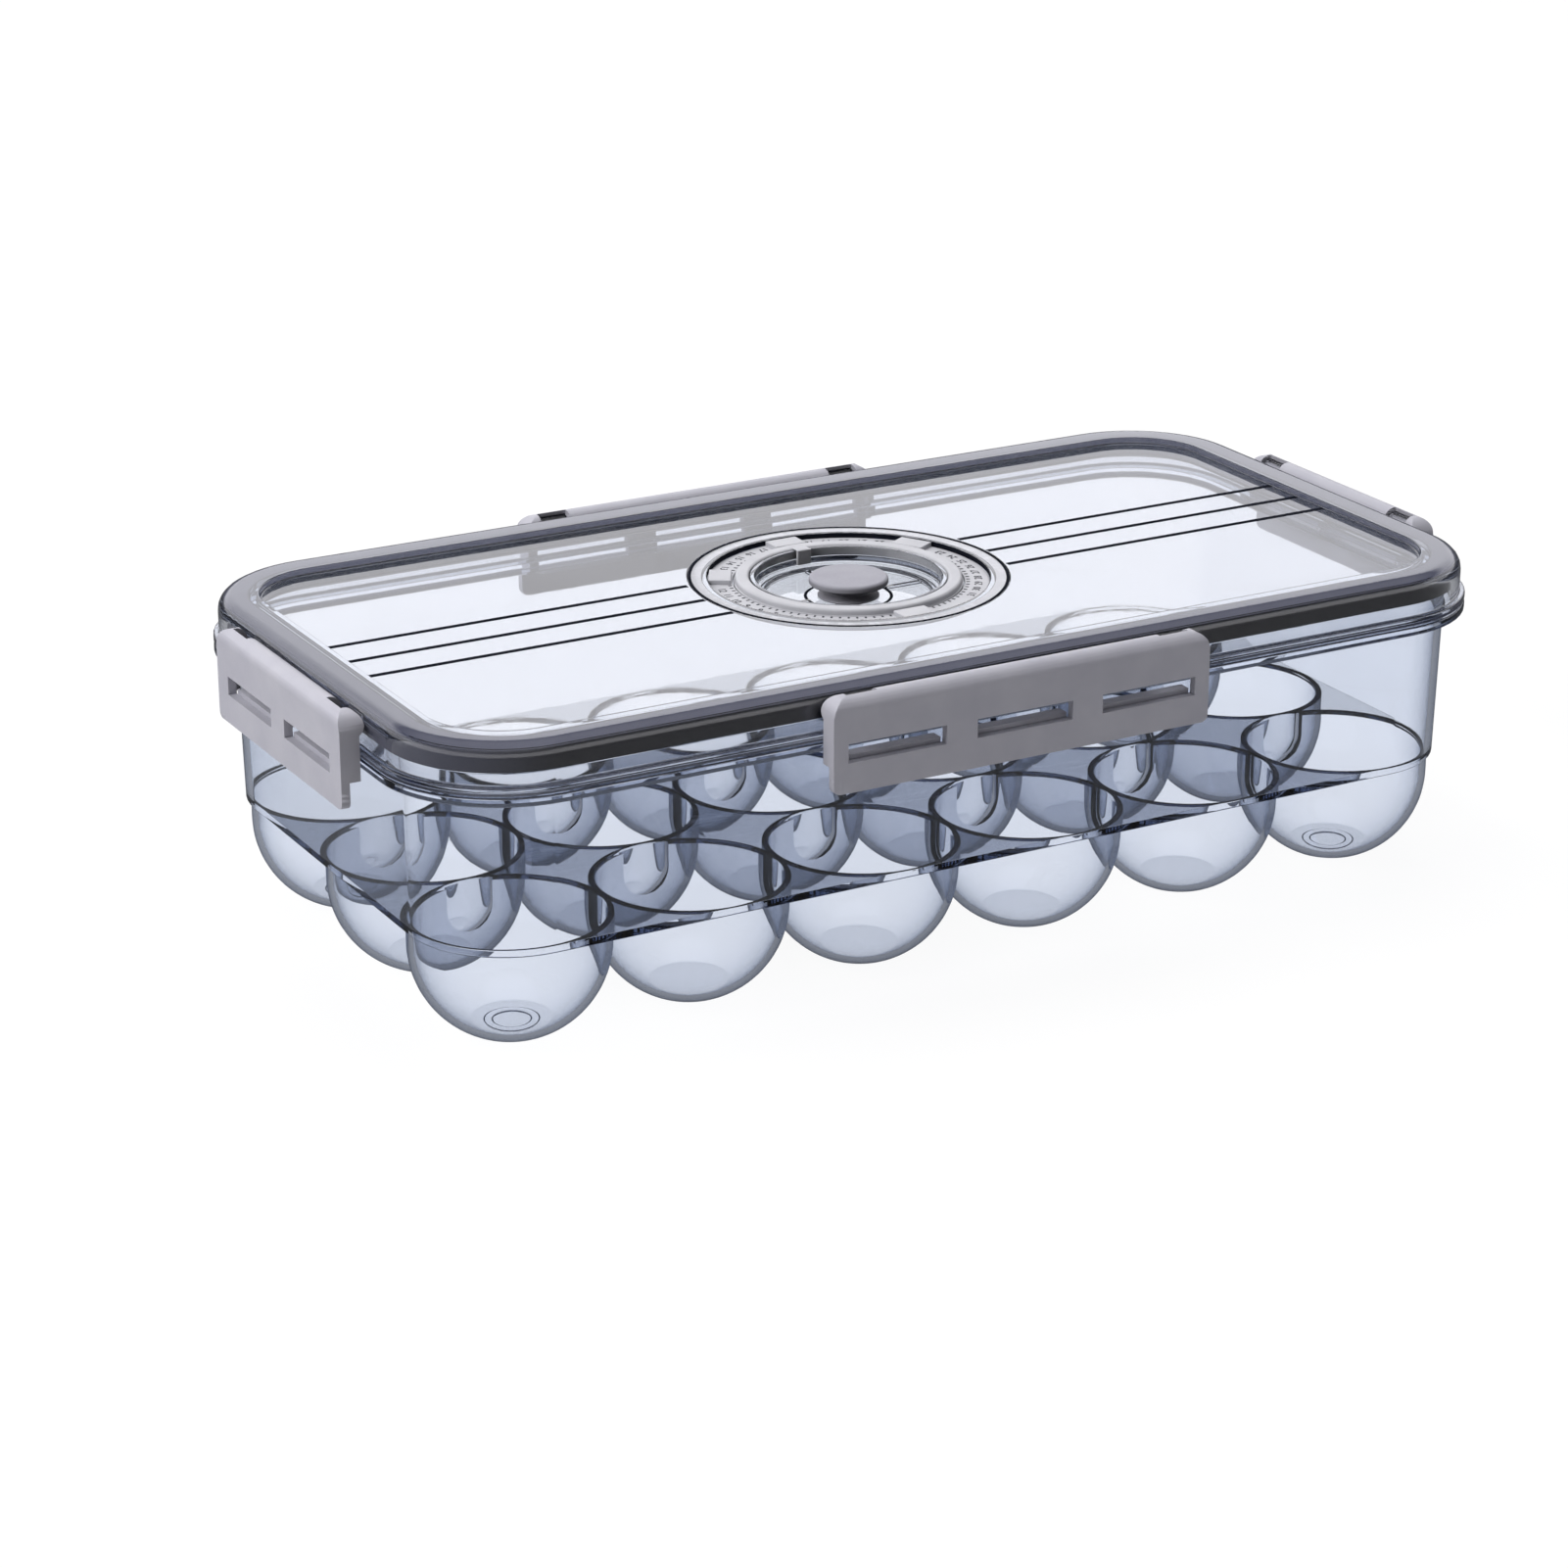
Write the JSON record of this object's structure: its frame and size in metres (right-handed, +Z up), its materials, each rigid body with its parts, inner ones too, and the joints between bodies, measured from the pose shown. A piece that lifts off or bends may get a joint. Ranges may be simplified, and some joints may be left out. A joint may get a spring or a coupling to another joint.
{
  "type": "egg storage box",
  "caption": "Clear rectangular egg storage box: round cups in a tray, a sealed lift-off lid held by swinging side clips, and a lid dial with turning rings and a vent plug.",
  "frame": {"origin": "middle of the base, on the surface that the box stands on", "axes": "+X along the long side, +Y towards the back long side, +Z up"},
  "size_m": [0.3148, 0.1696, 0.0828],
  "materials": {
    "clear_plastic": "clear, lightly smoke-blue, polished",
    "seal": "dark grey silicone",
    "clip_plastic": "warm grey, fine satin",
    "ring_plastic": "pale grey, satin",
    "plug": "grey silicone"
  },
  "bodies": {
    "tray": {"tray": "clear_plastic"},
    "lid": {"lid": "clear_plastic", "lid_gasket": "seal", "dial_cup": "clear_plastic", "dial_seal": "seal"},
    "front_clip": {"front_clip": "clip_plastic"},
    "back_clip": {"back_clip": "clip_plastic"},
    "left_clip": {"left_clip": "clip_plastic"},
    "right_clip": {"right_clip": "clip_plastic"},
    "month_ring": {"month_ring": "ring_plastic"},
    "date_ring": {"date_ring": "ring_plastic"},
    "vent_plug": {"vent_plug": "plug"}
  },
  "joints": [
    {"name": "lid_lift", "type": "slide", "parent": "tray", "child": "lid", "axis": [0, 0, 1], "range_m": [0, 0.03]},
    {"name": "front_clip_swing", "type": "hinge", "parent": "lid", "child": "front_clip", "pos_m": [0, -0.0816, 0.07921], "axis": [-1, 0, 0], "range_deg": [0, 100]},
    {"name": "back_clip_swing", "type": "hinge", "parent": "lid", "child": "back_clip", "pos_m": [0, 0.0816, 0.07921], "axis": [1, 0, 0], "range_deg": [0, 100]},
    {"name": "left_clip_swing", "type": "hinge", "parent": "lid", "child": "left_clip", "pos_m": [-0.1542, 0, 0.07921], "axis": [0, 1, 0], "range_deg": [0, 100]},
    {"name": "right_clip_swing", "type": "hinge", "parent": "lid", "child": "right_clip", "pos_m": [0.1542, 0, 0.07921], "axis": [0, -1, 0], "range_deg": [0, 100]},
    {"name": "month_ring_turn", "type": "hinge", "parent": "lid", "child": "month_ring", "pos_m": [0, 0, 0.08], "axis": [0, 0, 1], "continuous": true},
    {"name": "date_ring_turn", "type": "hinge", "parent": "lid", "child": "date_ring", "pos_m": [0, 0, 0.08], "axis": [0, 0, 1], "continuous": true},
    {"name": "vent_plug_lift", "type": "slide", "parent": "lid", "child": "vent_plug", "axis": [0, 0, 1], "range_m": [0, 0.003]}
  ],
  "couplings": [
    {"joint": "front_clip_swing", "follows": "lid_lift", "rad_per_m": 58.17},
    {"joint": "back_clip_swing", "follows": "lid_lift", "rad_per_m": 58.17},
    {"joint": "left_clip_swing", "follows": "lid_lift", "rad_per_m": 58.17},
    {"joint": "right_clip_swing", "follows": "lid_lift", "rad_per_m": 58.17}
  ]
}
